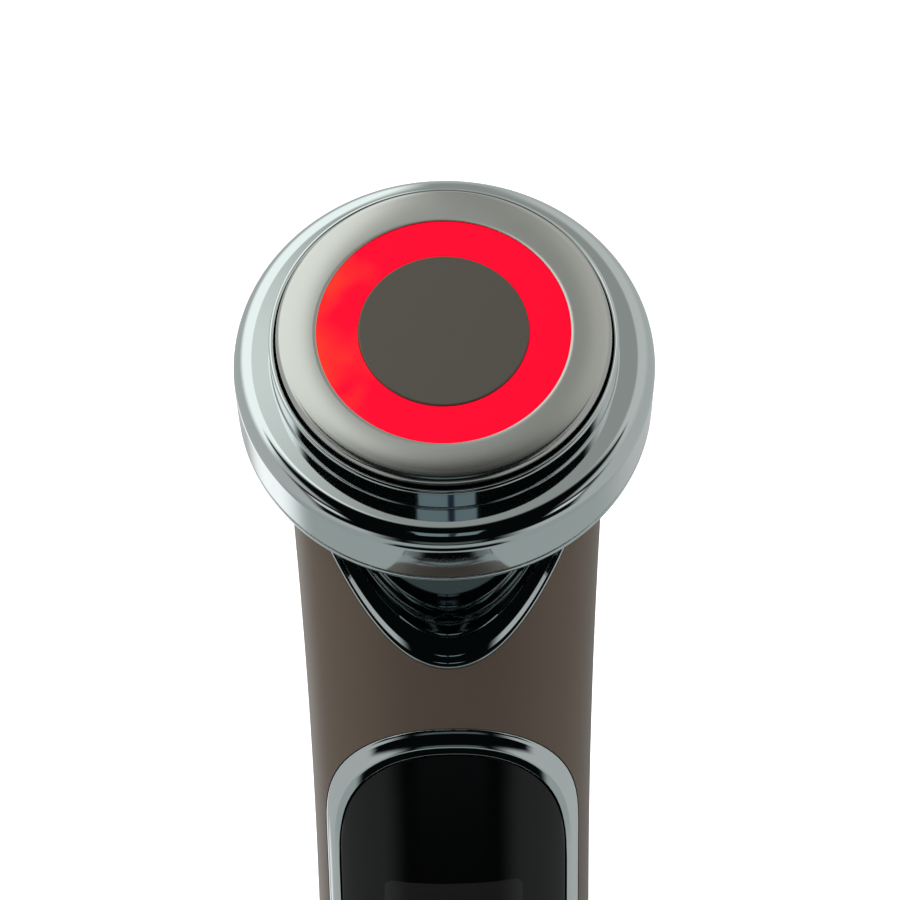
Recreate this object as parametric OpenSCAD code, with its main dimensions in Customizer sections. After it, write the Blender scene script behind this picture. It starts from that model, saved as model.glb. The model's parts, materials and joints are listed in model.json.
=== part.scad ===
// Handheld facial care wand: a round two-electrode treatment head with a lit ring, a removable
// cotton pad ring, a chrome neck and a painted handle with a display and three keys.
// Units are millimetres. The handle stands along +Z on its flat base pad, the display faces -Y,
// and the head axis leans forward from the handle axis.

/* [Handle] */
// Width of the grip
handle_w = 36.8; // [34:0.1:44.2]
// Depth of the grip in front of the parting plane
front_depth = 16.8; // [15.6:0.1:20.2]
// Depth of the grip behind the parting plane
rear_depth = 16.5; // [15:0.1:19.8]
// Height of the head seat on the handle axis
neck_z = 158; // [150:0.5:190]
// Growth of the half width at the head seat
neck_flare = 2.1; // [0:0.1:3]
// Length over which the neck flares
flare_length = 68; // [40:1:80]
// Loss of half width at the foot
base_taper = 0.8; // [0:0.1:2]
// Squareness of the grip section, where 2 is an ellipse
section_power = 2.4; // [2:0.1:3]
// Wall of the two shells
shell_wall = 2; // [1.4:0.1:2.4]

/* [Head] */
// Lean of the head axis from the handle axis, in degrees
head_tilt = 39; // [32:0.5:44]
// Radius of the treatment face
face_r = 20.3; // [17:0.1:25]
// Height of the treatment face over the head seat
face_h = 16; // [15.4:0.1:19.2]
// Width of the outer electrode
electrode_w = 5; // [4.2:0.1:6.2]
// Width of the light ring
light_w = 4.9; // [4:0.1:5.9]
// Rounding of the treatment face's rim
face_round = 1; // [0.4:0.1:1]
// Number of light emitters under the ring
led_count = 12; // [8:1:16]

/* [Pad ring] */
// Width of the pad ring's flange outside its collar
flange_w = 4.8; // [4:0.1:6]
// Height of the pad ring's flange over the head seat
flange_h = 10.4; // [9:0.1:12]
// Height of the pad ring's collar over the head seat
collar_h = 14.4; // [13.4:0.1:15.2]
// Wall of the collar
collar_wall = 0.65; // [0.5:0.05:1]
// Wall of the pad ring's skirt
skirt_wall = 1.1; // [0.8:0.1:1.6]
// Rounding of the flange's rim
flange_round = 2.4; // [0.6:0.1:2.6]
// Loss of the skirt's radius from its foot up to the flange, so that it leaves its mould
skirt_draft = 0.1; // [0:0.05:0.3]
// Running clearance of the pad ring around the head
ring_gap = 0.25; // [0.15:0.05:0.4]

/* [Neck] */
// Half width of the neck opening in the front shell
notch_half_w = 15.5; // [13:0.1:16]
// Drop from the head seat to the neck opening's lowest point
notch_drop = 30.2; // [26:0.1:34]
// Steepness of the opening's curve, in mm of width squared per mm of height
notch_curve = 14.3; // [10:0.1:18]
// Width of the chrome trim along the opening
trim_w = 3.9; // [2.5:0.1:4.6]
// Depth of the hollow in the neck cover behind the trim's edge
bowl_depth = 4; // [2.5:0.1:4.4]

/* [Display] */
// Strip of painted shell left beside the display frame
frame_margin = 1.9; // [1.5:0.1:3]
// Drop from the head seat to the top of the display frame
frame_drop = 38.8; // [37:0.1:48]
// Painted or black margin between the power key and the glass's lower end
glass_chin = 3.2; // [2.4:0.1:8]
// Height of the arch at the top of the frame
frame_arch = 18.5; // [14:0.5:20]
// Width of the frame beside the glass
frame_side = 1.6; // [1:0.1:2.2]
// Width of the frame above and below the glass
frame_end = 3.7; // [2:0.1:4.5]
// Thickness of the glass
glass_t = 1.6; // [1.2:0.1:1.8]
// Width of the display module
module_w = 20.8; // [17:0.1:21]
// Height of the display module
module_h = 32; // [26:0.1:38.5]

/* [Keys] */
// Radius of the power key
power_r = 5.2; // [4:0.1:6]
// Width of a side key
key_w = 9.4; // [7:0.1:9.6]
// Height of a side key
key_h = 6.4; // [5:0.1:8]
// Travel of a key
key_travel = 0.5; // [0.3:0.1:0.6]
// Clearance around a key
key_gap = 0.15; // [0.1:0.05:0.2]

/* [Base] */
// Height of the base cap
base_h = 9; // [8:0.5:12]
// Inset of the base pad from the foot's edge
pad_inset = 4; // [3:0.5:5]
// Thickness of the base pad
pad_t = 1.2; // [0.8:0.1:2]

/* [Inside] */
// Length of the battery cell
battery_len = 65; // [50:1:66]
// Thickness of the circuit boards
board_t = 1.6; // [1:0.1:2]
// Height of a key switch over the board
switch_h = 2.7; // [2:0.1:3.5]
// Wall of the inner frame
frame_t = 1.4; // [1:0.1:2]
// Radius of the vibration motor
motor_r = 6; // [4:0.1:6.4]
// Length of the vibration motor
motor_len = 18; // [14:0.5:20]
// Radius of the motor shaft
shaft_r = 1; // [0.7:0.05:1.2]

/* [Hidden] */

$fn = 96;
fit = 0.1;            // gap between parts that are fixed to each other
far = 60;             // longer than any section of the wand
section_points = 72;
slice_h = 13;         // tallest slice of a lofted surface
seat_gap = 0.3;       // shadow gap between the handle and the head
screw_r = 0.85;
pilot_r = 0.95;       // hole that a screw's shank stands in
screw_head_r = 1.7;
screw_head_h = 1.1;

// ---- Outer surface of the handle ----
function flare(z) = pow(max(0, z - neck_z + flare_length) / flare_length, 2);
function taper(z) = pow(max(0, 1 - z / 60), 2);
function half_w(z) = handle_w / 2 + neck_flare * flare(z) - base_taper * taper(z);
function front_d(z) = front_depth + 0.6 * flare(z) - base_taper * taper(z);
function rear_d(z) = rear_depth + 1.2 * flare(z) - base_taper * taper(z);
function signed_pow(v, p) = sign(v) * pow(abs(v), p);
function section_ring(z, inset) = [for (k = [0 : section_points - 1]) let (a = 360 * k / section_points)
    [(half_w(z) - inset) * signed_pow(cos(a), 2 / section_power),
     (sin(a) < 0 ? front_d(z) - inset : rear_d(z) - inset) * signed_pow(sin(a), 2 / section_power), z]];
// y of the front surface, or of a surface at an inset below it
function front_y(x, z, inset) = -(front_d(z) - inset)
    * pow(1 - pow(abs(x) / (half_w(z) - inset), section_power), 1 / section_power);

// x of the side surface in front of the parting plane, at an inset below it
function side_x(y, z, inset) = (half_w(z) - inset)
    * pow(1 - pow(abs(y) / (front_d(z) - inset), section_power), 1 / section_power);

// Solid between two section rings
module slice(low_ring, high_ring) {
    points = concat(low_ring, high_ring);
    hull() polyhedron(points, [[for (k = [0 : len(points) - 1]) k]]);
}
module loft(z_low, z_high, inset) {
    steps = ceil((z_high - z_low) / slice_h);
    for (i = [0 : steps - 1])
        slice(section_ring(z_low + (z_high - z_low) * i / steps, inset),
              section_ring(z_low + (z_high - z_low) * (i + 1) / steps, inset));
}

// ---- Places that the parts share ----
loft_top = neck_z + (rear_depth + 2) * tan(head_tilt);
glass_half_w = handle_w / 2 - frame_margin - frame_side;
frame_top = neck_z - frame_drop;
glass_top = frame_top - frame_end;
glass_in = 0.1;                              // the glass lies this far below the painted surface
module_top_drop = 16;                        // black margin above the display module
module_z = glass_top - module_top_drop - module_h / 2;
side_key_x = key_w / 2 + 1.4;
side_key_z = module_z - module_h / 2 - key_h / 2 - 4.2;
power_z = side_key_z - key_h / 2 - power_r - 3.4;
glass_bottom = power_z - power_r - glass_chin;
frame_bottom = glass_bottom - frame_end;
key_lip = 0.6;                               // width of the lip that keeps a key behind the glass
key_lip_t = 0.8;
key_outer_x = side_key_x + key_w / 2 + key_lip;
key_lip_y = front_y(key_outer_x, side_key_z, glass_in + glass_t) + 0.25;
plunger_y = key_lip_y + key_lip_t + key_travel + 0.1;
board_y = plunger_y + switch_h;              // front face of the main board
board_low = base_h + 7;
board_back_y = board_y + board_t;
frame_y = board_back_y + fit;                // front face of the inner frame's plate
frame_back_y = frame_y + frame_t;
board_half_w = side_x(board_y, board_low, shell_wall + 0.5);
board_high = frame_top + 0.8;
cell_r = (rear_depth - shell_wall - 0.4 - frame_back_y - fit) / 2;
cell_y = frame_back_y + fit + cell_r;
cell_low = base_h + 13;
motor_y = cell_y;
motor_low = cell_low + battery_len + 7;
boss_x = board_half_w - 3;
boss_r = 2.4;
boss_z = [board_low + 5.5, board_high + 4.6];
port_y = 5;                                  // the charging port stands behind the handle's axis
frame_reach_y = front_y(glass_half_w + frame_side, glass_bottom, 0) + 1;
collar_in_r = face_r + ring_gap;
ring_r = collar_in_r + collar_wall + flange_w;
light_outer_r = face_r - electrode_w;
light_inner_r = light_outer_r - light_w;
core_r = face_r - 0.05;                      // outside of the housing's drum that the pad ring slides on
core_wall = 1.9;
core_top = face_h - 3.1;
rim_h = 0.9;
rim_r = ring_r;
grip_r = 0.6;
grip_h = core_top - 1.3;
grip_centre_r = core_r + 0.12 - grip_r;
gasket_t = 0.3;
face_t = 1;
carrier_r = core_r - core_wall - fit;
carrier_t = 1.7;
carrier_h = core_top + gasket_t - carrier_t; // underside of the carrier's disc
led_board_h = 8;
led_r = (light_outer_r + light_inner_r) / 2;
carrier_boss_r = 2.1;
carrier_screw_pcr = carrier_r - carrier_boss_r - 0.3;
carrier_from = -90;                          // the carrier's bosses stand between the seat screws
contact_r = 0.5;
contact_x = light_outer_r + 2;
seat_screw_pcr = 8.8;
bracket_r = 11.6;
pad_z = pad_t - 0.6;                         // the pad stands 0.6 out of the cap
port_w = 10.4;
port_h = 4.6;
socket_w = 8.9;
socket_h = 3.2;
socket_len = 7.6;

module at_head() translate([0, 0, neck_z]) rotate([head_tilt, 0, 0]) children();
module above_seat(gap) at_head() translate([-far, -far, -gap]) cube([2 * far, 2 * far, 2 * far]);
module ring_of(count, r, from = 90)
    for (i = [0 : count - 1]) rotate([0, 0, 360 * i / count + from]) translate([r, 0, 0]) children();
// A shape drawn in x and z, standing across the handle from y0 to y1
module across(y0, y1) translate([0, y1, 0]) rotate([90, 0, 0]) linear_extrude(y1 - y0) children();
module tube(r_out, r_in, h) difference() {
    cylinder(r = r_out, h = h);
    translate([0, 0, -1]) cylinder(r = r_in, h = h + 2);
}
// A screw whose head rests on z = 0 and whose shank points down
module screw(len) {
    cylinder(r = screw_head_r, h = screw_head_h);
    translate([0, 0, -len]) cylinder(r = screw_r, h = len);
}

// ---- Outlines drawn in x and z ----
function arc_end(half, rise, z_start, up) = [for (k = [0 : 24]) let (a = 180 * k / 24)
    [half * signed_pow(cos(a), 2 / 2.3) * up, z_start + up * rise * pow(sin(a), 2 / 2.3)]];
function capsule(half, z_low, z_high, rise) = concat(arc_end(half, rise, z_high - rise, 1),
    arc_end(half, rise * 0.85, z_low + rise * 0.85, -1));
module frame_outline(grow) polygon(capsule(glass_half_w + frame_side + grow, frame_bottom - grow, frame_top + grow, frame_arch));
module glass_outline(grow) polygon(capsule(glass_half_w + grow, glass_bottom - grow, glass_top + grow, frame_arch));
function notch(half, z_low, curve) = concat([[half, neck_z + 20], [-half, neck_z + 20]],
    [for (k = [0 : 24]) let (x = -half + 2 * half * k / 24) [x, z_low + x * x / curve]]);
module notch_outline(shrink) polygon(notch(notch_half_w - shrink, neck_z - notch_drop + shrink, notch_curve));
module trim_inner_outline(grow) polygon(notch(notch_half_w - trim_w + grow, neck_z - notch_drop + trim_w - grow, notch_curve - 0.9));
module side_key_outline(grow) hull() for (x = [-1, 1])
    translate([x * (key_w - key_h) / 2, 0]) circle(r = key_h / 2 + grow, $fn = 40);
module key_outlines(grow) {
    for (side = [-1, 1]) translate([side * side_key_x, side_key_z]) side_key_outline(grow);
    translate([0, power_z]) circle(r = power_r + grow, $fn = 48);
}

// ---- Handle shells ----
module shell_body(wall_low) difference() {
    loft(wall_low, loft_top, 0);
    loft(wall_low - 1, loft_top + 1, shell_wall);
    above_seat(seat_gap);
}
module boss(x, z) translate([x, frame_y - fit, z]) rotate([90, 0, 0]) cylinder(r = boss_r, h = front_depth, $fn = 24);

module front_shell() color([0.36, 0.32, 0.28]) {
    difference() {
        union() {
            shell_body(base_h + 0.2);
            intersection() {
                for (x = [-boss_x, boss_x], z = boss_z) boss(x, z);
                loft(base_h + 1, neck_z, shell_wall - 0.5);
            }
        }
        translate([-far, 0, -1]) cube([2 * far, far, 4 * far]);
        across(-far, frame_reach_y + 0.2) frame_outline(fit);
        across(-far, 1) notch_outline(0);
        for (x = [-boss_x, boss_x], z = boss_z)
            translate([x, frame_y, z]) rotate([90, 0, 0]) cylinder(r = pilot_r, h = 6, $fn = 20);
    }
}

module rear_shell() color([0.36, 0.32, 0.28]) difference() {
    shell_body(base_h + 0.2);
    translate([-far, -2 * far + 0.05, -1]) cube([2 * far, 2 * far, 4 * far]);
}

// ---- Base ----
base_round = 3;
cap_screw_x = 10;
cap_floor = pad_t + 2.4;
// Section ring of the foot's round edge, from its flat bottom at a = 0 to its upright side at 90
function base_ring(a) = section_ring(pad_z + base_round * (1 - cos(a)), base_round * (1 - sin(a)));
module port_hole(z_high) translate([-port_w / 2, port_y - port_h / 2, -1]) cube([port_w, port_h, z_high + 1]);
module base_cap() color([0.75, 0.76, 0.78]) difference() {
    union() {
        loft(pad_z + base_round, base_h, 0);
        for (a = [0 : 15 : 75]) slice(base_ring(a), base_ring(a + 15));
        loft(base_h - 1, base_h + 3, shell_wall + fit);
    }
    translate([0, 0, pad_z - 1]) linear_extrude(1 + pad_t - pad_z + fit) pad_outline(fit);
    loft(cap_floor, base_h + 4, shell_wall + 1.6);
    port_hole(base_h);
    for (x = [-cap_screw_x, cap_screw_x]) translate([x, 0, -1]) {
        cylinder(r = pilot_r + 0.1, h = 8, $fn = 24);
        cylinder(r = screw_head_r + 0.2, h = 1 + pad_t + 1.2, $fn = 24);
    }
}
module pad_outline(grow) polygon([for (k = [0 : section_points - 1]) let (a = 360 * k / section_points)
    [(half_w(0) - pad_inset + grow) * signed_pow(cos(a), 2 / section_power),
     (front_d(0) - pad_inset + grow) * signed_pow(sin(a), 2 / section_power)]]);
module base_pad() color([0.2, 0.19, 0.18]) difference() {
    linear_extrude(pad_t) pad_outline(0);
    port_hole(base_h);
}
module base_screws() color([0.7, 0.7, 0.72])
    for (x = [-cap_screw_x, cap_screw_x]) translate([x, 0, pad_t + 1.2]) rotate([180, 0, 0]) screw(8);

// ---- Neck ----
module neck_trim() color([0.8, 0.81, 0.83]) difference() {
    intersection() {
        loft(neck_z - notch_drop - 8, loft_top, 0.15);
        across(-far, -4) notch_outline(fit);
    }
    loft(neck_z - notch_drop - 9, loft_top + 1, shell_wall);
    across(-far, 0) trim_inner_outline(0);
    above_seat(seat_gap);
}
// The bowl's wall runs straight in from the trim's inner edge and then rounds to a flat bottom
bowl_edge_y = front_y(notch_half_w - trim_w, neck_z - 14, 0) + 0.6;
bowl_wall = 1.2;
bowl_round = 8;
module bowl(grow) hull() {
    across(-far, bowl_edge_y) trim_inner_outline(grow);
    for (a = [15 : 15 : 90]) across(bowl_edge_y, bowl_edge_y + (bowl_depth + grow) * sin(a))
        trim_inner_outline(grow - bowl_round * (1 - cos(a)));
}
module neck_cover() color([0.7, 0.72, 0.74]) difference() {
    intersection() {
        bowl(bowl_wall);
        loft(neck_z - notch_drop - 8, loft_top, shell_wall + fit);
    }
    bowl(0);
    above_seat(seat_gap);
}
module neck_bracket() color([0.25, 0.25, 0.27]) difference() {
    union() {
        at_head() translate([0, 0, -3.4]) cylinder(r = bracket_r, h = 3.4);
        translate([-8, frame_back_y + fit, boss_z[1] - 3.2]) cube([16, 14, neck_z - boss_z[1] + 3.2]);
    }
    above_seat(0);
    translate([-cable_w / 2 - 1, frame_back_y - far, boss_z[1] + 4]) cube([cable_w + 2, far + 9, neck_z]);
    at_head() ring_of(3, seat_screw_pcr) translate([0, 0, -9]) cylinder(r = pilot_r, h = 20);
    for (x = [-5.6, 5.6]) translate([x, frame_back_y - 1, boss_z[1] - 1]) rotate([-90, 0, 0]) cylinder(r = pilot_r, h = 8);
}
module bracket_screws() color([0.7, 0.7, 0.72]) for (x = [-5.6, 5.6])
    translate([x, frame_y - 0.05, boss_z[1] - 1]) rotate([90, 0, 0]) screw(6);

// ---- Display and keys ----
module display_frame() color([0.8, 0.81, 0.83]) difference() {
    intersection() {
        loft(frame_bottom - 3, frame_top + 3, -0.5);
        across(-far, frame_reach_y) frame_outline(0);
    }
    loft(frame_bottom - 4, frame_top + 4, shell_wall + 0.4);
    across(-far, 0) glass_outline(0);
}
module display_glass() color([0.03, 0.03, 0.035]) difference() {
    intersection() {
        loft(frame_bottom - 3, frame_top + 3, glass_in);
        across(-far, 0) glass_outline(-fit);
    }
    loft(frame_bottom - 4, frame_top + 4, glass_in + glass_t);
    across(-far, 0) key_outlines(key_gap);
}
module_front_y = front_y(module_w / 2, module_z, glass_in + glass_t) + 0.2;
module display_module() color([0.16, 0.17, 0.17])
    translate([-module_w / 2, module_front_y, module_z - module_h / 2]) cube([module_w, 2.2, module_h]);
module display_holder() color([0.85, 0.85, 0.82]) difference() {
    translate([-module_w / 2, module_front_y + 2.2, module_z - module_h / 2])
        cube([module_w, board_y - module_front_y - 2.2, module_h]);
    translate([-module_w / 2 + 1.6, module_front_y, module_z - module_h / 2 + 1.6])
        cube([module_w - 3.2, far, module_h - 3.2]);
}
module key_body() {
    difference() {
        intersection() {
            loft(frame_bottom, frame_top, -0.35);
            across(-far, key_lip_y + key_lip_t) children(0);
        }
        translate([-far, key_lip_y + key_lip_t, 0]) cube([2 * far, far, neck_z]);
    }
    across(key_lip_y, key_lip_y + key_lip_t) children(1);
}
module power_key() color([0.75, 0.76, 0.78]) key_body() {
    translate([0, power_z]) circle(r = power_r, $fn = 48);
    translate([0, power_z]) circle(r = power_r + key_lip, $fn = 48);
}
module side_key(side) key_body() {
    translate([side * side_key_x, side_key_z]) side_key_outline(0);
    translate([side * side_key_x, side_key_z]) side_key_outline(key_lip);
}
module mode_key() color([0.1, 0.1, 0.11]) side_key(-1);
module level_key() color([0.1, 0.1, 0.11]) side_key(1);
module key_switches() color([0.3, 0.3, 0.32])
    for (p = [[-side_key_x, side_key_z], [side_key_x, side_key_z], [0, power_z]]) translate([p[0], 0, p[1]]) {
        translate([-2.6, plunger_y + 0.9, -2.6]) cube([5.2, switch_h - 0.9, 5.2]);
        translate([0, plunger_y + 0.9, 0]) rotate([90, 0, 0]) cylinder(r = 1.4, h = 0.9);
    }

// ---- Boards and what they carry ----
module main_board() color([0.08, 0.3, 0.16]) difference() {
    translate([-board_half_w, board_y, board_low]) cube([2 * board_half_w, board_t, board_high - board_low]);
    for (x = [-boss_x, boss_x]) translate([x, board_y - 1, boss_z[0]]) rotate([-90, 0, 0]) cylinder(r = boss_r + 0.3, h = 5);
}
chip_sizes = [[8, 8, 1.2], [5, 6, 1.4], [4, 4, 1]];
chip_pitch = 7.5;
buzzer_r = 4.2;
buzzer_z = board_low + 6;
chip_z = (power_z - power_r + buzzer_z + buzzer_r) / 2;  // midway between the power key and the buzzer
module board_chips() color([0.07, 0.07, 0.08]) for (i = [0 : len(chip_sizes) - 1]) let (s = chip_sizes[i])
    translate([chip_pitch * (i - 1) - s[0] / 2, board_y - s[2], chip_z - s[1] / 2]) cube([s[0], s[2], s[1]]);
module rf_transformer() color([0.55, 0.35, 0.15]) translate([-5, board_y - 3.6, module_z + module_h / 2 + 4]) {
    translate([0, 0, 0]) cube([10, 3.6, 1.2]);
    translate([0, 0, 6.8]) cube([10, 3.6, 1.2]);
    translate([1, 0.3, 1.2]) cube([8, 3, 5.6]);
}
module buzzer() color([0.05, 0.05, 0.05]) translate([0, board_y, buzzer_z]) rotate([90, 0, 0]) difference() {
    cylinder(r = buzzer_r, h = 3);
    translate([0, 0, 2]) cylinder(r = 0.8, h = 2);
}
module charge_board() color([0.08, 0.3, 0.16])
    translate([-6.5, port_y + socket_h / 2 + 0.05, cap_floor + fit]) cube([13, 1, base_h]);
module charge_socket() color([0.7, 0.7, 0.72]) translate([0, port_y, 0]) difference() {
    translate([-socket_w / 2, -socket_h / 2, 2]) cube([socket_w, socket_h, socket_len]);
    difference() {
        translate([-socket_w / 2 + 0.35, -socket_h / 2 + 0.35, 0]) cube([socket_w - 0.7, socket_h - 0.7, socket_len + 0.8]);
        translate([-3.3, -0.35, 2.6]) cube([6.6, 0.7, socket_len]);
    }
}

// ---- Inner frame, battery and motor ----
cradle_z = [cell_low + 8, cell_low + battery_len - 12];
module inner_frame() color([0.78, 0.78, 0.75]) difference() {
    union() {
        translate([-board_half_w, frame_y, base_h + 4.4])
            cube([2 * board_half_w, frame_t, boss_z[1] + 3.4 - base_h - 4.4]);
        for (z = cradle_z) translate([0, cell_y, z]) intersection() {
            tube(cell_r + fit + frame_t, cell_r + fit, 5);
            translate([-far, -far, -1]) cube([2 * far, far - cell_r * 0.35, 8]);
        }
        for (x = [-cap_screw_x, cap_screw_x]) translate([x - 2.2, frame_y, cap_floor + fit])
            cube([4.4, 2.2 - frame_y, base_h + 8 - cap_floor]);
    }
    for (x = [-boss_x, boss_x], z = boss_z)
        translate([x, frame_y - 1, z]) rotate([-90, 0, 0]) cylinder(r = screw_r + 0.15, h = 5);
    for (x = [-5.6, 5.6]) translate([x, frame_y - 1, boss_z[1] - 1]) rotate([-90, 0, 0]) cylinder(r = screw_r + 0.15, h = 5);
    for (x = [-cap_screw_x, cap_screw_x]) translate([x, 0, 0]) cylinder(r = pilot_r, h = base_h + 12);
    for (z = cradle_z) translate([0, cell_y, z - 1]) cylinder(r = cell_r + fit, h = 8);
}
module frame_screws() color([0.7, 0.7, 0.72]) for (x = [-boss_x, boss_x], z = boss_z)
    translate([x, frame_back_y, z]) rotate([-90, 0, 0]) screw(5);
module battery() color([0.15, 0.35, 0.6]) translate([0, cell_y, cell_low]) cylinder(r = cell_r, h = battery_len);
module battery_tabs() color([0.8, 0.78, 0.7]) for (z = [cell_low - 0.4, cell_low + battery_len + 0.1])
    translate([-2, cell_y - 3, z]) cube([4, 6, 0.3]);
module vibration_motor() color([0.72, 0.72, 0.74]) translate([0, motor_y, motor_low]) difference() {
    union() {
        cylinder(r = motor_r, h = motor_len);
        translate([0, 0, motor_len]) cylinder(r = 2.4, h = 1);
    }
    translate([0, 0, motor_len - 4]) cylinder(r = shaft_r + 0.05, h = 8);
}
module motor_sleeve() color([0.12, 0.12, 0.12]) translate([0, motor_y, motor_low + 2]) difference() {
    intersection() {
        translate([-motor_r - 2, -cell_r, 0]) cube([2 * motor_r + 4, 2 * cell_r, motor_len - 4]);
        cylinder(r = cell_r, h = motor_len);
    }
    translate([0, 0, -1]) cylinder(r = motor_r + 0.02, h = motor_len);
}
module motor_shaft() color([0.6, 0.6, 0.62])
    translate([0, motor_y, motor_low + motor_len - 3.5]) cylinder(r = shaft_r, h = 11);
module eccentric_weight() color([0.55, 0.5, 0.42]) translate([0, motor_y, motor_low + motor_len + 2]) difference() {
    cylinder(r = motor_r - 0.5, h = 5);
    translate([-far, 1.6, -1]) cube([2 * far, far, 8]);
    translate([0, 0, -1]) cylinder(r = shaft_r, h = 8);
}

// ---- Treatment head, drawn in the head's own frame ----
module head_housing() color([0.8, 0.81, 0.83]) at_head() difference() {
    union() {
        cylinder(r = rim_r, h = rim_h);
        cylinder(r = core_r, h = core_top);
    }
    difference() {
        translate([0, 0, 1.6]) cylinder(r = core_r - core_wall, h = core_top);
        ring_of(3, carrier_screw_pcr, carrier_from) cylinder(r = carrier_boss_r + 0.8, h = led_board_h);
    }
    translate([0, 0, -1]) cylinder(r = 3.2, h = 4);
    ring_of(3, seat_screw_pcr) translate([0, 0, -1]) cylinder(r = screw_r + 0.15, h = 4);
    ring_of(3, carrier_screw_pcr, carrier_from) translate([0, 0, 2.4]) cylinder(r = pilot_r, h = 8);
    translate([0, 0, grip_h - grip_r]) tube(core_r + 1, grip_centre_r - grip_r, 2 * grip_r);
}
// Elastic ring in a groove that grips the pad ring's collar
module grip_ring() color([0.15, 0.15, 0.15]) at_head() rotate_extrude() translate([grip_centre_r, grip_h])
    circle(r = grip_r, $fn = 32);
module seat_screws() color([0.7, 0.7, 0.72]) at_head() ring_of(3, seat_screw_pcr) translate([0, 0, 1.6]) screw(4.6);
module led_board() color([0.9, 0.9, 0.88]) at_head() translate([0, 0, led_board_h]) difference() {
    cylinder(r = carrier_r - 0.2, h = board_t);
    translate([0, 0, -1]) cylinder(r = 4, h = 4);
    ring_of(3, carrier_screw_pcr, carrier_from) translate([0, 0, -1]) cylinder(r = screw_r + 0.15, h = 4);
}
module led_emitters() color([0.95, 0.85, 0.7]) at_head() translate([0, 0, led_board_h + board_t])
    rotate([0, 0, 180 / led_count]) ring_of(led_count, led_r) translate([-1.4, -1.1, 0]) cube([2.8, 2.2, 1]);
slot_rib = 8;         // half the angle left between two light slots
module electrode_carrier() color([0.9, 0.9, 0.9]) at_head() difference() {
    union() {
        translate([0, 0, carrier_h]) cylinder(r = carrier_r, h = carrier_t);
        ring_of(3, carrier_screw_pcr, carrier_from) translate([0, 0, led_board_h + board_t])
            cylinder(r = carrier_boss_r, h = carrier_h - led_board_h - board_t + 0.5);
    }
    // Light slots, between the screws
    for (i = [0 : 2]) rotate([0, 0, 120 * i + carrier_from + slot_rib]) translate([0, 0, carrier_h - 1])
        rotate_extrude(angle = 120 - 2 * slot_rib) translate([light_inner_r + 0.8, 0]) square([light_w - 1.6, 4]);
    translate([0, 0, carrier_h - 1]) cylinder(r = 2.2, h = 4);
    for (x = [-contact_x, contact_x]) translate([x, 0, carrier_h - 1]) cylinder(r = contact_r + 0.1, h = 4);
    ring_of(3, carrier_screw_pcr, carrier_from) {
        cylinder(r = screw_r + 0.15, h = 20);
        translate([0, 0, carrier_h + 0.5]) cylinder(r = screw_head_r + 0.1, h = 4);
    }
}
module carrier_screws() color([0.7, 0.7, 0.72])
    at_head() ring_of(3, carrier_screw_pcr, carrier_from) translate([0, 0, carrier_h + 0.5]) screw(7.4);
// Sprung pins that feed the outer electrode
module contact_pins() color([0.85, 0.7, 0.35]) at_head() for (x = [-contact_x, contact_x])
    translate([x, 0, led_board_h + board_t]) cylinder(r = contact_r, h = face_h - face_t - led_board_h - board_t);
module face_gasket() color([0.3, 0.3, 0.3]) at_head() translate([0, 0, core_top])
    tube(core_r - 0.2, core_r - core_wall + 0.1, gasket_t);
// The ring carries both electrodes on its lower flange
light_base_h = core_top + gasket_t;
module light_ring() color([1, 0.1, 0.15]) at_head() rotate_extrude() difference() {
    union() {
        translate([light_inner_r, light_base_h]) square([light_outer_r - light_inner_r, face_h - 0.08 - light_base_h]);
        translate([light_inner_r - 1, light_base_h]) square([light_outer_r - light_inner_r + 2, 1]);
    }
    translate([light_inner_r + 1.4, light_base_h - 1]) square([light_outer_r - light_inner_r - 2.8, 1.5]);
}
module outer_electrode() color([0.72, 0.72, 0.7]) at_head() rotate_extrude() difference() {
    union() {
        translate([light_outer_r + 0.05, face_h - face_t]) square([face_r - face_round - light_outer_r - 0.05, face_t]);
        translate([face_r - 1.1, light_base_h]) square([1.1, face_h - face_round - light_base_h]);
        translate([face_r - face_round, face_h - face_round]) circle(r = face_round, $fn = 48);
        translate([face_r - face_round - 0.2, face_h - face_t - 0.6]) square([0.4, 0.6]);
    }
    square([light_outer_r + 0.05, far]);
}
module centre_electrode() color([0.36, 0.34, 0.31]) at_head() {
    translate([0, 0, light_base_h + 1.05]) cylinder(r = light_inner_r - 0.05, h = face_h - light_base_h - 1.05);
    translate([0, 0, light_base_h]) cylinder(r = light_inner_r - 1.1, h = 1.05);
    translate([0, 0, led_board_h + board_t + 0.4]) cylinder(r = 1.8, h = light_base_h - led_board_h - board_t);
}
// Flat cable from the light board down through the neck to the main board
cable_w = 5;
module cable_leg(a, b) hull() {
    translate(a) cube([cable_w, 0.4, 0.4], center = true);
    translate(b) cube([cable_w, 0.4, 0.4], center = true);
}
module head_cable() color([0.85, 0.8, 0.65]) {
    top = [0, -(led_board_h - 0.4) * sin(head_tilt), neck_z + (led_board_h - 0.4) * cos(head_tilt)];
    seat = [0, 0, neck_z - 2];
    turn = [0, board_y - 0.3, boss_z[1] + 6];
    cable_leg(top, seat);
    cable_leg(seat, turn);
    cable_leg(turn, [0, board_y - 0.3, board_high - 3]);
}

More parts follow.
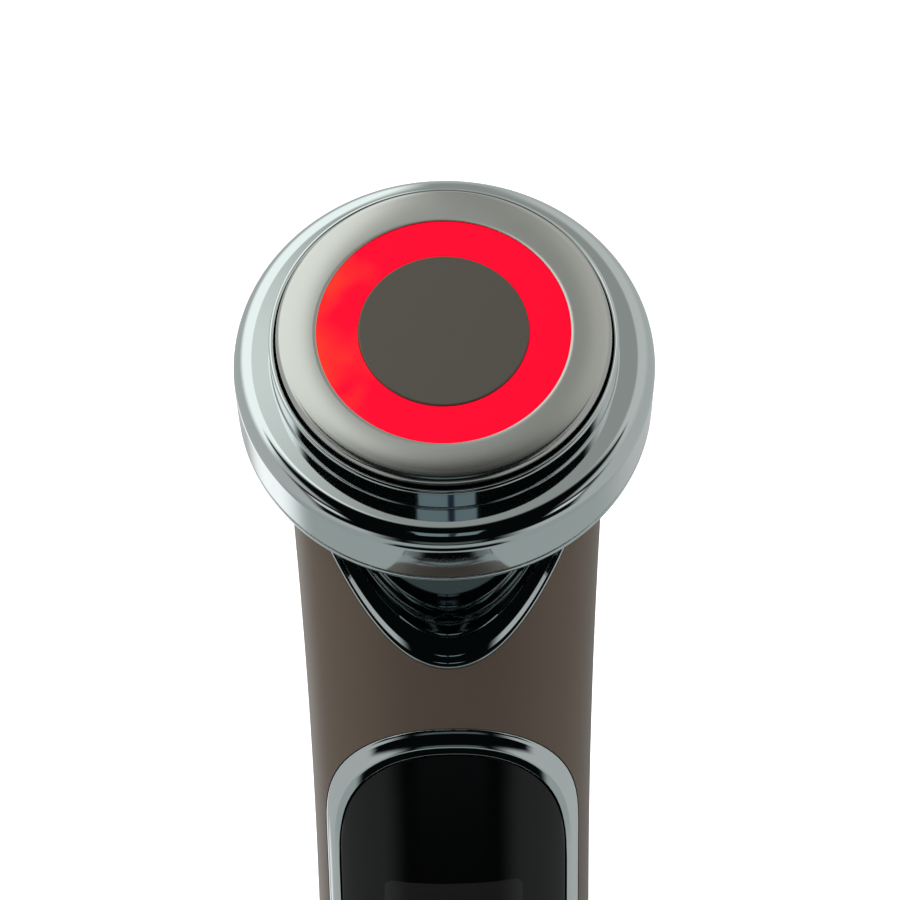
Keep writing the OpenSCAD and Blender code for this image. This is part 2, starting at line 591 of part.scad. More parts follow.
// ---- Pad ring ----
skirt_low = rim_h + ring_gap;
flange_t = 1.1;
flange_r = ring_r - skirt_draft;
lip_r = collar_wall / 2;
function arc(x, y, r, from, to) = [for (k = [0 : 8]) let (a = from + (to - from) * k / 8) [x + r * cos(a), y + r * sin(a)]];
module pad_ring() color([0.8, 0.81, 0.83]) at_head() rotate_extrude() polygon(concat(
    [[ring_r - skirt_wall, skirt_low], [rim_r - 0.3, skirt_low], [rim_r, skirt_low + 0.3]],
    arc(flange_r - flange_round, flange_h - flange_round, flange_round, 0, 90),
    [[collar_in_r + collar_wall, flange_h]],
    arc(collar_in_r + lip_r, collar_h - lip_r, lip_r, 0, 180),
    [[collar_in_r, flange_h - flange_t], [flange_r - flange_round, flange_h - flange_t]],
    [[flange_r - skirt_wall, flange_h - flange_round]]));

front_shell();
rear_shell();
base_cap();
base_pad();
base_screws();
neck_trim();
neck_cover();
neck_bracket();
bracket_screws();
display_frame();
display_glass();
display_module();
display_holder();
power_key();
mode_key();
level_key();
key_switches();
main_board();
board_chips();
rf_transformer();
buzzer();
inner_frame();
frame_screws();
battery();
battery_tabs();
charge_board();
charge_socket();
vibration_motor();
motor_sleeve();
motor_shaft();
eccentric_weight();
head_housing();
grip_ring();
seat_screws();
led_board();
led_emitters();
electrode_carrier();
carrier_screws();
contact_pins();
face_gasket();
light_ring();
outer_electrode();
centre_electrode();
head_cable();
pad_ring();
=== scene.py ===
import json
from math import cos, pi, radians, sin

import bmesh
import bpy
from mathutils import Matrix, Vector

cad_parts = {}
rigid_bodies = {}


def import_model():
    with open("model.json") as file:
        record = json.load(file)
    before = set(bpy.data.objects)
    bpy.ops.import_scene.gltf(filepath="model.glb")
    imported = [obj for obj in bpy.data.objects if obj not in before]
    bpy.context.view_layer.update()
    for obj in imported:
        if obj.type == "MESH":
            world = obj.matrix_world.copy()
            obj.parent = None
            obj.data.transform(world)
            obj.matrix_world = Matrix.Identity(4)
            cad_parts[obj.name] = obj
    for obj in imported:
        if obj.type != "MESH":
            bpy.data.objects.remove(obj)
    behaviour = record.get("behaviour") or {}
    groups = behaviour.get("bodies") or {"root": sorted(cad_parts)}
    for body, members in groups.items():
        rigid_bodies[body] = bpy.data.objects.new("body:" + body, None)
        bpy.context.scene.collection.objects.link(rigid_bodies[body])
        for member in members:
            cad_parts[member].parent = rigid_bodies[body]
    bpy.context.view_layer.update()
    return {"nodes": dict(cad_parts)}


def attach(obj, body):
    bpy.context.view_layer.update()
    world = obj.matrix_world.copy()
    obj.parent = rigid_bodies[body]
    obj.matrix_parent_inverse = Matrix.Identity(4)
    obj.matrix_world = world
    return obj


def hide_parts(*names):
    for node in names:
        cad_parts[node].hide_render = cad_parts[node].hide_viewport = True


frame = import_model()
nodes = frame["nodes"]
mm = 0.001


# ---------------------------------------------------------------------------
# Inner frame and everything screwed to it. A moulded nylon spine carries the
# boards, the cell and the motor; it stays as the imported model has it.
# ---------------------------------------------------------------------------
def deselect():
    for thing in bpy.context.view_layer.objects:
        thing.select_set(False)


def add(tree, kind, **inputs):
    made = tree.nodes.new(kind)
    for name, value in inputs.items():
        made.inputs[name.replace("_", " ")].default_value = value
    return made


def build_fine_surface():
    """Uneven tone, gloss and grain over a surface, in the piece's own coordinates."""
    tree = bpy.data.node_groups.new("fine_surface", "ShaderNodeTree")
    wanted = [("Colour", "NodeSocketColor", (0.5, 0.5, 0.5, 1)), ("Tone", "NodeSocketFloat", 0.1),
              ("Patch", "NodeSocketFloat", 200.0), ("Roughness", "NodeSocketFloat", 0.4),
              ("Gloss Spread", "NodeSocketFloat", 0.05), ("Grain", "NodeSocketFloat", 2000.0)]
    for name, kind, value in wanted:
        tree.interface.new_socket(name, in_out="INPUT", socket_type=kind).default_value = value
    for name, kind in (("Colour", "NodeSocketColor"), ("Roughness", "NodeSocketFloat"),
                       ("Height", "NodeSocketFloat")):
        tree.interface.new_socket(name, in_out="OUTPUT", socket_type=kind)
    put, link = tree.nodes.new, tree.links.new
    given, out, where = put("NodeGroupInput"), put("NodeGroupOutput"), put("ShaderNodeTexCoord")
    patches = add(tree, "ShaderNodeTexNoise", Detail=4.0, Roughness=0.6)
    grain = add(tree, "ShaderNodeTexNoise", Detail=2.0)
    for noise, size in ((patches, "Patch"), (grain, "Grain")):
        link(where.outputs["Object"], noise.inputs["Vector"])
        link(given.outputs[size], noise.inputs["Scale"])
    centred = put("ShaderNodeMath")
    centred.operation, centred.inputs[1].default_value = "SUBTRACT", 0.5
    link(patches.outputs["Fac"], centred.inputs[0])
    tone = put("ShaderNodeMath")
    tone.operation, tone.inputs[2].default_value = "MULTIPLY_ADD", 1.0
    link(centred.outputs[0], tone.inputs[0])
    link(given.outputs["Tone"], tone.inputs[1])
    shaded = put("ShaderNodeVectorMath")
    shaded.operation = "SCALE"
    link(given.outputs["Colour"], shaded.inputs[0])
    link(tone.outputs[0], shaded.inputs["Scale"])
    gloss = put("ShaderNodeMath")
    gloss.operation = "MULTIPLY_ADD"
    link(centred.outputs[0], gloss.inputs[0])
    link(given.outputs["Gloss Spread"], gloss.inputs[1])
    link(given.outputs["Roughness"], gloss.inputs[2])
    link(shaded.outputs[0], out.inputs["Colour"])
    link(gloss.outputs[0], out.inputs["Roughness"])
    link(grain.outputs["Fac"], out.inputs["Height"])
    return tree


fine_surface = build_fine_surface()


def finish(name, colour, roughness, metallic=0.0, tone=0.08, patch=220.0, spread=0.06, grain=2500.0,
           depth=0.0, coat=0.0, coat_roughness=0.05, specular=0.5):
    """A material whose tone, gloss and grain vary over the surface."""
    made = bpy.data.materials.new(name)
    made.use_nodes = True
    tree = made.node_tree
    shader = tree.nodes["Principled BSDF"]
    shader.inputs["Metallic"].default_value = metallic
    shader.inputs["Coat Weight"].default_value = coat
    shader.inputs["Coat Roughness"].default_value = coat_roughness
    shader.inputs["Specular IOR Level"].default_value = specular
    surface = tree.nodes.new("ShaderNodeGroup")
    surface.node_tree = fine_surface
    for socket, value in (("Colour", (*colour, 1)), ("Tone", tone), ("Patch", patch),
                          ("Roughness", roughness), ("Gloss Spread", spread), ("Grain", grain)):
        surface.inputs[socket].default_value = value
    tree.links.new(surface.outputs["Colour"], shader.inputs["Base Color"])
    tree.links.new(surface.outputs["Roughness"], shader.inputs["Roughness"])
    if depth:
        bump = tree.nodes.new("ShaderNodeBump")
        bump.inputs["Strength"].default_value = 0.5
        bump.inputs["Distance"].default_value = depth
        tree.links.new(surface.outputs["Height"], bump.inputs["Height"])
        tree.links.new(bump.outputs["Normal"], shader.inputs["Normal"])
    return made


def dress(piece, material):
    piece.data.materials.clear()
    piece.data.materials.append(material)


inner_finishes = {
    "natural_nylon": finish("natural_nylon", (0.62, 0.61, 0.56), 0.5, depth=2e-5),
    "filled_nylon": finish("filled_nylon", (0.06, 0.06, 0.065), 0.55, depth=3e-5),
    "white_moulding": finish("white_moulding", (0.74, 0.74, 0.71), 0.42, depth=1e-5),
    "green_board": finish("green_board", (0.02, 0.11, 0.05), 0.35, tone=0.3, patch=500.0, coat=0.4),
    "white_board": finish("white_board", (0.75, 0.75, 0.72), 0.35, coat=0.4),
    "moulded_chip": finish("moulded_chip", (0.015, 0.015, 0.017), 0.5, depth=1e-5),
    "wound_copper": finish("wound_copper", (0.4, 0.17, 0.07), 0.35, metallic=0.7, tone=0.4, patch=900.0),
    "cell_sleeve": finish("cell_sleeve", (0.02, 0.09, 0.3), 0.25, coat=0.3),
    "plain_steel": finish("plain_steel", (0.55, 0.55, 0.56), 0.28, metallic=1.0, tone=0.15),
    "gold_plate": finish("gold_plate", (0.8, 0.55, 0.2), 0.2, metallic=1.0),
    "soft_rubber": finish("soft_rubber", (0.02, 0.02, 0.02), 0.7, depth=3e-5, specular=0.3),
    "sintered_metal": finish("sintered_metal", (0.3, 0.27, 0.22), 0.45, metallic=0.9, tone=0.3, depth=2e-5),
    "amber_film": finish("amber_film", (0.55, 0.3, 0.08), 0.3, coat=0.3),
    "emitter_package": finish("emitter_package", (0.8, 0.6, 0.3), 0.3),
}
inner_nodes = {
    "inner_frame": "natural_nylon", "neck_bracket": "filled_nylon", "display_holder": "white_moulding",
    "electrode_carrier": "white_moulding", "main_board": "green_board", "charge_board": "green_board",
    "led_board": "white_board", "board_chips": "moulded_chip", "buzzer": "moulded_chip",
    "key_switches": "moulded_chip", "display_module": "moulded_chip", "rf_transformer": "wound_copper",
    "battery": "cell_sleeve", "battery_tabs": "plain_steel", "vibration_motor": "plain_steel",
    "motor_shaft": "plain_steel", "eccentric_weight": "sintered_metal", "motor_sleeve": "soft_rubber",
    "charge_socket": "plain_steel", "bracket_screws": "plain_steel", "frame_screws": "plain_steel",
    "seat_screws": "plain_steel", "carrier_screws": "plain_steel", "base_screws": "plain_steel",
    "contact_pins": "gold_plate", "grip_ring": "soft_rubber", "face_gasket": "soft_rubber",
    "led_emitters": "emitter_package", "head_cable": "amber_film",
}
for node, finish_name in inner_nodes.items():
    dress(nodes[node], inner_finishes[finish_name])

# ---------------------------------------------------------------------------
# Rear and front shells. Two injection mouldings in satin metallic paint meet
# on the plane y = 0; the front one is cut out for the neck and the display.
# ---------------------------------------------------------------------------
half_width, front_depth, rear_depth = 18.4, 16.8, 16.5
seat_z, head_tilt = 158.0, radians(39)
flare_length, neck_flare, front_flare, rear_flare, foot_taper = 68.0, 2.1, 0.6, 1.2, 0.8
section_power = 2.4
wall = 2.0
cap_top = 9.0
around = 192
seat = Vector((0, 0, seat_z)) * mm
head_axis = Vector((0, -sin(head_tilt), cos(head_tilt)))


def section_halves(z):
    """Half width, front depth and rear depth of the grip at a height."""
    grown = (max(0.0, z - seat_z + flare_length) / flare_length) ** 2
    drawn_in = foot_taper * max(0.0, 1 - z / 60) ** 2
    return (half_width + neck_flare * grown - drawn_in, front_depth + front_flare * grown - drawn_in,
            rear_depth + rear_flare * grown - drawn_in)


def signed_power(value, power):
    return (1 if value >= 0 else -1) * abs(value) ** power


def section_loop(z, inset=0.0, count=around):
    side, front, rear = section_halves(z)
    loop = []
    for k in range(count):
        a = 2 * pi * k / count
        depth = (front if sin(a) < 0 else rear) - inset
        loop.append(((side - inset) * signed_power(cos(a), 2 / section_power),
                     depth * signed_power(sin(a), 2 / section_power), z))
    return loop


def front_y(x, z, inset=0.0):
    side, front, _ = section_halves(z)
    share = min(abs(x) / (side - inset), 0.999)
    return -(front - inset) * (1 - share ** section_power) ** (1 / section_power)


def loft(name, loops, closed=False, start_cap=False, end_cap=False):
    """A circle extruded through each loop of points; closed joins the last loop to the first."""
    deselect()
    fill = "NGON" if start_cap else "NOTHING"
    bpy.ops.mesh.primitive_circle_add(vertices=len(loops[0]), radius=mm, fill_type=fill)
    piece = bpy.context.object
    piece.name = piece.data.name = name
    bpy.ops.object.mode_set(mode="EDIT")
    bpy.ops.mesh.select_mode(type="EDGE")
    bpy.ops.mesh.select_all(action="SELECT")
    mesh = bmesh.from_edit_mesh(piece.data)
    place = mesh.verts.layers.int.new("place")
    for k, vertex in enumerate(mesh.verts):
        vertex[place] = k
    for step, loop in enumerate([*loops, loops[0]] if closed else loops):
        if step:
            bpy.ops.mesh.extrude_edges_move()
        mesh = bmesh.from_edit_mesh(piece.data)
        place = mesh.verts.layers.int["place"]
        for vertex in mesh.verts:
            if vertex.select:
                vertex.co = Vector(loop[vertex[place]]) * mm
        bmesh.update_edit_mesh(piece.data)
    if end_cap:
        bpy.ops.mesh.edge_face_add()
    bpy.ops.mesh.select_all(action="SELECT")
    bpy.ops.mesh.remove_doubles(threshold=1e-7)
    bpy.ops.mesh.normals_make_consistent(inside=False)
    bpy.ops.object.mode_set(mode="OBJECT")
    return piece


def apply_modifiers(piece):
    deselect()
    piece.select_set(True)
    bpy.context.view_layer.objects.active = piece
    for modifier in list(piece.modifiers):
        bpy.ops.object.modifier_apply(modifier=modifier.name)


def round_edges(piece, width, segments=3, angle=35):
    bevel = piece.modifiers.new("rounding", "BEVEL")
    bevel.width, bevel.segments, bevel.limit_method = width * mm, segments, "ANGLE"
    bevel.angle_limit = radians(angle)
    bevel.harden_normals = False
    apply_modifiers(piece)


def smooth(piece, angle=35):
    """Smooth shading up to an angle, with the normals following the larger faces."""
    deselect()
    piece.select_set(True)
    bpy.context.view_layer.objects.active = piece
    bpy.ops.object.shade_smooth_by_angle(angle=radians(angle))
    weights = piece.modifiers.new("flat_faces_lead", "WEIGHTED_NORMAL")
    weights.mode, weights.weight, weights.keep_sharp = "FACE_AREA", 100, True
    apply_modifiers(piece)


def cut(piece, *cutters):
    """Takes each cutter's solid out of the piece and deletes the cutter."""
    for cutter in cutters:
        boolean = piece.modifiers.new("cut", "BOOLEAN")
        boolean.operation, boolean.object, boolean.solver = "DIFFERENCE", cutter, "EXACT"
        apply_modifiers(piece)
        bpy.data.objects.remove(cutter)


def block(low, high):
    deselect()
    bpy.ops.mesh.primitive_cube_add(size=1)
    made = bpy.context.object
    for vertex in made.data.vertices:
        vertex.co = Vector((a if c < 0 else b) for a, b, c in zip(low, high, vertex.co)) * mm
    return made


def above_seat(gap):
    made = block((-80, -80, -gap), (80, 80, 80))
    made.data.transform(Matrix.Translation(seat) @ Matrix.Rotation(head_tilt, 4, "X"))
    return made


def prism(outline, y0, y1):
    """A closed outline in x and z made solid across the handle."""
    return loft("prism", [[(x, y, z) for x, z in outline] for y in (y0, y1)], start_cap=True, end_cap=True)


def shell(name, seam=0.2, step=3.4, steps=48):
    """The grip as a tube from the base cap's seam to past the head seat."""
    heights = [cap_top + seam + step * k for k in range(steps + 1)]
    outside = [section_loop(z) for z in heights]
    inside = [section_loop(z, wall) for z in reversed(heights)]
    return loft(name, outside + inside, closed=True)


def arch(half, rise, z_start, up, steps=40, arch_power=2.3):
    """Half of a squared ellipse, upwards or downwards from a height."""
    return [(half * signed_power(cos(pi * k / steps), 2 / arch_power) * up,
             z_start + up * rise * sin(pi * k / steps) ** (2 / arch_power)) for k in range(steps + 1)]


glass_half, frame_side, frame_end, arch_rise = 14.9, 1.6, 3.7, 18.5
foot_rise = arch_rise * 0.85
frame_high, frame_low = 119.2, 36.2
notch_half, notch_low, notch_curve, trim_width = 15.5, 127.8, 14.3, 3.9


def capsule(grow, inner=False, straight=24):
    """Outline of the display frame, or of the glass inside it, from its right side anticlockwise."""
    half = glass_half + grow + (0 if inner else frame_side)
    high = frame_high + grow - (frame_end if inner else 0)
    low = frame_low - grow + (frame_end if inner else 0)
    top = arch(half, arch_rise, high - arch_rise, 1)
    bottom = arch(half, foot_rise, low + foot_rise, -1)
    sides = []
    for (x0, z0), (x1, z1) in ((top[-1], bottom[0]), (bottom[-1], top[0])):
        sides.append([(x0 + (x1 - x0) * k / straight, z0 + (z1 - z0) * k / straight)
                      for k in range(1, straight)])
    return top + sides[0] + bottom + sides[1]


def notch(shrink, curve, steps=80, high=176.0):
    """Outline of the neck opening: a parabola below and an open top past the head seat."""
    half = notch_half - shrink
    u = [(-half + 2 * half * k / steps, notch_low + shrink + (half - 2 * half * k / steps) ** 2 / curve)
         for k in range(steps + 1)]
    right = [(half, u[-1][1] + (high - u[-1][1]) * k / 12) for k in range(1, 12)]
    top = [(half - 2 * half * k / 12, high) for k in range(13)]
    left = [(-half, high + (u[0][1] - high) * k / 12) for k in range(1, 12)]
    return u + right + top + left


satin_taupe = finish("satin_taupe_paint", (0.102, 0.074, 0.056), 0.42, metallic=0.35, tone=0.05, patch=60.0,
                     spread=0.04, grain=9000.0, depth=4e-6, coat=0.04, coat_roughness=0.35, specular=0.3)

rear_shell = shell("rear_shell_moulding")
cut(rear_shell, block((-80, -80, -5), (80, 0.08, 200)), above_seat(0.3))
front_shell = shell("front_shell_moulding")
cut(front_shell, block((-80, -0.04, -5), (80, 80, 200)), above_seat(0.3),
    prism(capsule(0.1), -40, -7.7), prism(notch(0, notch_curve), -40, 1))
for piece, node in ((rear_shell, "rear_shell"), (front_shell, "front_shell")):
    smooth(piece, 30)
    dress(piece, satin_taupe)
    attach(piece, "wand")
    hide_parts(node)

# ---------------------------------------------------------------------------
# Base cap and pad. A chromed moulding closes the foot; a thin rubber pad in
# its recess hides two screws and leaves the charging port open.
# ---------------------------------------------------------------------------
pad_low, base_round, pad_inset, pad_thick = 0.6, 3.0, 4.0, 1.2
port_y, port_wide, port_deep = 5.0, 10.4, 4.6
bright_chrome = finish("bright_chrome", (0.66, 0.7, 0.71), 0.045, metallic=1.0, tone=0.02, patch=120.0,
                       spread=0.02)
pad_rubber = finish("pad_rubber", (0.03, 0.028, 0.026), 0.72, depth=4e-5, grain=1500.0, specular=0.3)


def pad_loop(z, grow):
    side, front, _ = section_halves(0)
    return [((side - pad_inset + grow) * signed_power(cos(2 * pi * k / around), 2 / section_power),
             (front - pad_inset + grow) * signed_power(sin(2 * pi * k / around), 2 / section_power), z)
            for k in range(around)]


def port_cutter():
    return block((-port_wide / 2, port_y - port_deep / 2, -1), (port_wide / 2, port_y + port_deep / 2, 7))


foot_turn = [radians(a) for a in range(0, 91, 9)]
foot = [section_loop(pad_low + base_round * (1 - cos(a)), base_round * (1 - sin(a))) for a in foot_turn]
cap_loops = [pad_loop(pad_thick + 0.1, 0.1), pad_loop(pad_low, 0.1), *foot,
             section_loop(cap_top - 0.2), section_loop(cap_top, 0.2), section_loop(cap_top, wall + 0.1),
             section_loop(cap_top + 3, wall + 0.1), section_loop(cap_top + 3, wall + 1.6),
             section_loop(3.6, wall + 1.6)]
base_cap = loft("base_cap_moulding", cap_loops, start_cap=True, end_cap=True)
cut(base_cap, port_cutter())
smooth(base_cap, 30)
dress(base_cap, bright_chrome)
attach(base_cap, "wand")
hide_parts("base_cap")

base_pad = loft("base_rubber_pad", [pad_loop(0, -0.3), pad_loop(0.3, 0), pad_loop(pad_thick, 0)],
                start_cap=True, end_cap=True)
cut(base_pad, port_cutter())
smooth(base_pad, 30)
dress(base_pad, pad_rubber)
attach(base_pad, "wand")
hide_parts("base_pad")

# ---------------------------------------------------------------------------
# Neck trim and cover. A chromed U bevel edges the cut-out under the head, and
# behind it a chromed bowl is moulded in one piece, its chrome painted darker as shade.
# ---------------------------------------------------------------------------
def on_front(x, z, proud):
    return (x, front_y(x, z) - proud, z)


def between(outer, inner, share):
    return [(a + (c - a) * share, b + (d - b) * share) for (a, b), (c, d) in zip(outer, inner)]


def swept(name, outer, inner, profile):
    """A ring between two outlines; its section is given as (share of the width, height over the paint)."""
    loops = [[on_front(x, z, proud) for x, z in between(outer, inner, share)] for share, proud in profile]
    return loft(name, loops, closed=True)


def round_to(points, centre, radius, start, end, steps):
    """Adds an arc, in degrees, to a list of section points."""
    for k in range(steps + 1):
        a = radians(start + (end - start) * k / steps)
        points.append((centre[0] + radius[0] * cos(a), centre[1] + radius[1] * sin(a)))


inner_curve, trim_drop = notch_curve - 0.9, 0.9
trim_outer, trim_inner = notch(0.1, notch_curve), notch(trim_width, inner_curve)
trim_profile = [(0, -1.9), (0, -0.3)]
round_to(trim_profile, (0.09, -0.02), (0.09, 0.26), 180, 60, 8)
trim_profile += [(0.2, 0.16), (0.23, 0.09), (0.38, -0.4), (0.42, -0.48), (0.7, -0.67), (0.98, -0.83),
                 (1.0, -0.84), (1.0, -1.9)]
neck_trim = swept("neck_chrome_bevel", trim_outer, trim_inner, trim_profile)
cut(neck_trim, above_seat(0.3))
smooth(neck_trim, 40)
dress(neck_trim, bright_chrome)
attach(neck_trim, "wand")
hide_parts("neck_trim")

bowl_bottom_y, bowl_wall = -10.4, 1.1
# the bowl's chrome is the bright chrome painted darker, as shade for the recess under the head
dark_chrome = finish("dark_chrome", (0.36, 0.4, 0.41), 0.07, metallic=1.0, tone=0.03, patch=120.0,
                     spread=0.02)
bowl_section = [(0.05, 0.0), (0.16, 0.03), (0.44, 0.05), (0.5, 0.15), (0.58, 0.38), (0.7, 0.46),
                (0.95, 0.5), (1.02, 0.6), (1.1, 0.82), (1.2, 0.93), (1.35, 0.98), (1.6, 1.0)]


def bowl_loop(inset, share, back):
    """One ring of the bowl, at an inset from the trim's inner edge and a share of the full depth."""
    loop = []
    for x, z in notch(trim_width + inset, inner_curve - 0.25 * inset):
        edge = front_y(x, z) + trim_drop
        loop.append((x, edge + (bowl_bottom_y - edge) * share + back, z))
    return loop


bowl_loops = [bowl_loop(inset, share, bowl_wall) for inset, share in reversed(bowl_section)]
bowl_loops += [bowl_loop(inset, share, 0) for inset, share in bowl_section]
neck_cover = loft("neck_bowl_shade_darkened", bowl_loops, start_cap=True, end_cap=True)
cut(neck_cover, above_seat(0.35))
smooth(neck_cover, 40)
dress(neck_cover, dark_chrome)
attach(neck_cover, "wand")
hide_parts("neck_cover")

# ---------------------------------------------------------------------------
# Display frame, glass and keys. The chromed frame stands 0.4 mm proud
# around a black acrylic panel, which three keys come through.
# ---------------------------------------------------------------------------
panel_black = finish("panel_black_acrylic", (0.0012, 0.0013, 0.0014), 0.05, tone=0.1, spread=0.02,
                     specular=0.3)
frame_outer, frame_inner = capsule(0), capsule(0, inner=True)
frame_profile = [(0, -2.2), (0, -0.2)]
round_to(frame_profile, (0.14, 0.0), (0.14, 0.12), 180, 90, 8)
frame_profile += [(0.17 + 0.45 * k / 6, 0.13 + 0.28 * k / 6 + 0.03 * sin(pi * k / 6)) for k in range(7)]
frame_profile += [(0.67, 0.4), (0.71, 0.33), (0.97, -0.02), (1.0, -0.1), (1.0, -2.2)]
display_frame = swept("display_chrome_frame", frame_outer, frame_inner, frame_profile)
smooth(display_frame, 40)
dress(display_frame, bright_chrome)
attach(display_frame, "wand")
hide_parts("display_frame")

window_half, window_high, window_low, window_corner = 9.0, 96.1, 71.0, 1.3


def window_mask(material, lit):
    """Lightens the panel's colour inside the round-cornered display window."""
    tree = material.node_tree
    shader = tree.nodes["Principled BSDF"]
    where = tree.nodes.new("ShaderNodeTexCoord")
    axes = tree.nodes.new("ShaderNodeSeparateXYZ")
    tree.links.new(where.outputs["Object"], axes.inputs[0])
    past = []
    window_middle, window_rise = (window_high + window_low) / 2, (window_high - window_low) / 2
    for axis, middle, half in (("X", 0.0, window_half), ("Z", window_middle, window_rise)):
        offset = tree.nodes.new("ShaderNodeMath")
        offset.operation, offset.inputs[1].default_value = "SUBTRACT", middle * mm
        size = tree.nodes.new("ShaderNodeMath")
        size.operation = "ABSOLUTE"
        over = tree.nodes.new("ShaderNodeMath")
        over.operation, over.inputs[1].default_value = "SUBTRACT", (half - window_corner) * mm
        kept = tree.nodes.new("ShaderNodeMath")
        kept.operation, kept.inputs[1].default_value = "MAXIMUM", 0.0
        square = tree.nodes.new("ShaderNodeMath")
        square.operation, square.inputs[1].default_value = "POWER", 2.0
        for source, target in ((axes.outputs[axis], offset), (offset.outputs[0], size),
                               (size.outputs[0], over), (over.outputs[0], kept), (kept.outputs[0], square)):
            tree.links.new(source, target.inputs[0])
        past.append(square)
    total = tree.nodes.new("ShaderNodeMath")
    tree.links.new(past[0].outputs[0], total.inputs[0])
    tree.links.new(past[1].outputs[0], total.inputs[1])
    reach = tree.nodes.new("ShaderNodeMath")
    reach.operation, reach.inputs[1].default_value = "POWER", 0.5
    tree.links.new(total.outputs[0], reach.inputs[0])
    edge = tree.nodes.new("ShaderNodeMapRange")
    edge.interpolation_type = "SMOOTHSTEP"
    edge.inputs["From Min"].default_value = (window_corner + 0.04) * mm
    edge.inputs["From Max"].default_value = (window_corner - 0.04) * mm
    tree.links.new(reach.outputs[0], edge.inputs["Value"])
    mix = tree.nodes.new("ShaderNodeMix")
    mix.data_type = "RGBA"
    mix.inputs["B"].default_value = (*lit, 1)
    source = shader.inputs["Base Color"].links[0].from_socket
    tree.links.new(edge.outputs["Result"], mix.inputs["Factor"])
    tree.links.new(source, mix.inputs["A"])
    tree.links.new(mix.outputs["Result"], shader.inputs["Base Color"])


window_mask(panel_black, (0.01, 0.0105, 0.01))


def panel_loop(outline, share, sink):
    """The panel's outline drawn in towards its middle line."""
    low, high = frame_low + frame_end + 16, frame_high - frame_end - 18
    loop = []
    for x, z in outline:
        spine = min(max(z, low), high)
        drawn_z = spine + (z - spine) * share
        loop.append((x * share, front_y(x * share, drawn_z, sink), drawn_z))
    return loop


panel_shares = [1.0, 0.985, 0.96, 0.92, 0.86, *(0.78 - 0.08 * k for k in range(9)), 0.07, 0.02]
glass_outline = capsule(-0.1, inner=True)
glass_loops = [panel_loop(glass_outline, 1.0, 1.7), panel_loop(glass_outline, 1.0, 0.3),
               *(panel_loop(glass_outline, 0.992 * share, 0.1) for share in panel_shares)]
glass_back = [panel_loop(glass_outline, share, 1.7) for share in reversed(panel_shares[1:])]
display_glass = loft("display_black_panel", glass_back + glass_loops, start_cap=True, end_cap=True)
key_w, key_h, key_x, key_z, power_r, power_z, key_gap = 9.4, 6.4, 6.1, 60.1, 5.2, 48.3, 0.15


def pill(centre_x, centre_z, grow, count=96):
    """Outline of a side key: a bar with round ends."""
    radius, reach = key_h / 2 + grow, (key_w - key_h) / 2
    turns = [2 * pi * k / count for k in range(count)]
    return [(centre_x + radius * cos(a) + (reach if cos(a) > 0 else -reach), centre_z + radius * sin(a))
            for a in turns]


def disc(centre_z, radius, count=128):
    turns = [2 * pi * k / count for k in range(count)]
    return [(radius * cos(a), centre_z + radius * sin(a)) for a in turns]


cut(display_glass, prism(pill(-key_x, key_z, key_gap), -40, -9),
    prism(pill(key_x, key_z, key_gap), -40, -9), prism(disc(power_z, power_r + key_gap), -40, -9))
smooth(display_glass, 30)
dress(display_glass, panel_black)
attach(display_glass, "wand")
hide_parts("display_glass")

key_black = finish("key_black_gloss", (0.012, 0.012, 0.013), 0.12, tone=0.1, coat=0.3)
lip_y, lip_t, lip = -11.95, 0.8, 0.6


def key(name, outline, lip_outline, middle, dish, material, body, proud=0.33, rim=0.92):
    """A key's cap: a round-edged top dished in the middle, over a lip that keeps it behind the panel."""
    def ring(share, height):
        return [(middle[0] + (x - middle[0]) * share, front_y(x, z) - height,
                 middle[1] + (z - middle[1]) * share) for x, z in outline]

    def flat(points, y):
        return [(x, y, z) for x, z in points]

    loops = [flat(lip_outline, lip_y + lip_t), flat(lip_outline, lip_y), flat(outline, lip_y)]
    loops += [ring(1.0, proud - 0.35), ring(0.985, proud - 0.14), ring(0.955, proud - 0.02), ring(rim, proud)]
    loops += [ring(share, proud - dish * (1 - (share / rim) ** 2))
              for share in (0.8, 0.65, 0.5, 0.35, 0.2, 0.08)]
    made = loft(name, loops, start_cap=True, end_cap=True)
    smooth(made, 40)
    dress(made, material)
    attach(made, body)
    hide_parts(body)


key("power_key_cap", disc(power_z, power_r), disc(power_z, power_r + lip), (0, power_z), 0.1,
    bright_chrome, "power_key")
for side, body in ((-1, "mode_key"), (1, "level_key")):
    key(f"{body}_cap", pill(side * key_x, key_z, 0), pill(side * key_x, key_z, lip),
        (side * key_x, key_z), 0.06, key_black, body)


# ---------------------------------------------------------------------------
# Treatment head. A chromed drum holds a lit ring between two electrodes, and
# every piece of it is turned about the head's own axis.
# ---------------------------------------------------------------------------
def turned(name, section, rounding=0.0, closed=True, capped=False, count=256):
    """A section of (radius, height over the seat) turned about the head's axis."""
    turns = [2 * pi * k / count for k in range(count)]
    loops = [[(r * cos(a), r * sin(a), h) for a in turns] for r, h in section]
    made = loft(name, loops, closed=closed, start_cap=capped, end_cap=capped)
    if rounding:
        round_edges(made, rounding)
    made.data.transform(Matrix.Translation(seat) @ Matrix.Rotation(head_tilt, 4, "X"))
    smooth(made, 30)
    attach(made, "wand")
    return made


core_r, core_top, gasket = 20.25, 12.9, 0.3
face_low = core_top + gasket
rim_r, rim_h = 26.0, 0.9
brushed_face = finish("fine_brushed_steel", (0.58, 0.575, 0.55), 0.2, metallic=1.0, tone=0.04, patch=150.0,
                      spread=0.04)
centre_satin = finish("centre_satin_coat", (0.096, 0.087, 0.072), 0.38, metallic=0.5, tone=0.03, patch=90.0,
                      grain=12000.0, depth=3e-6)

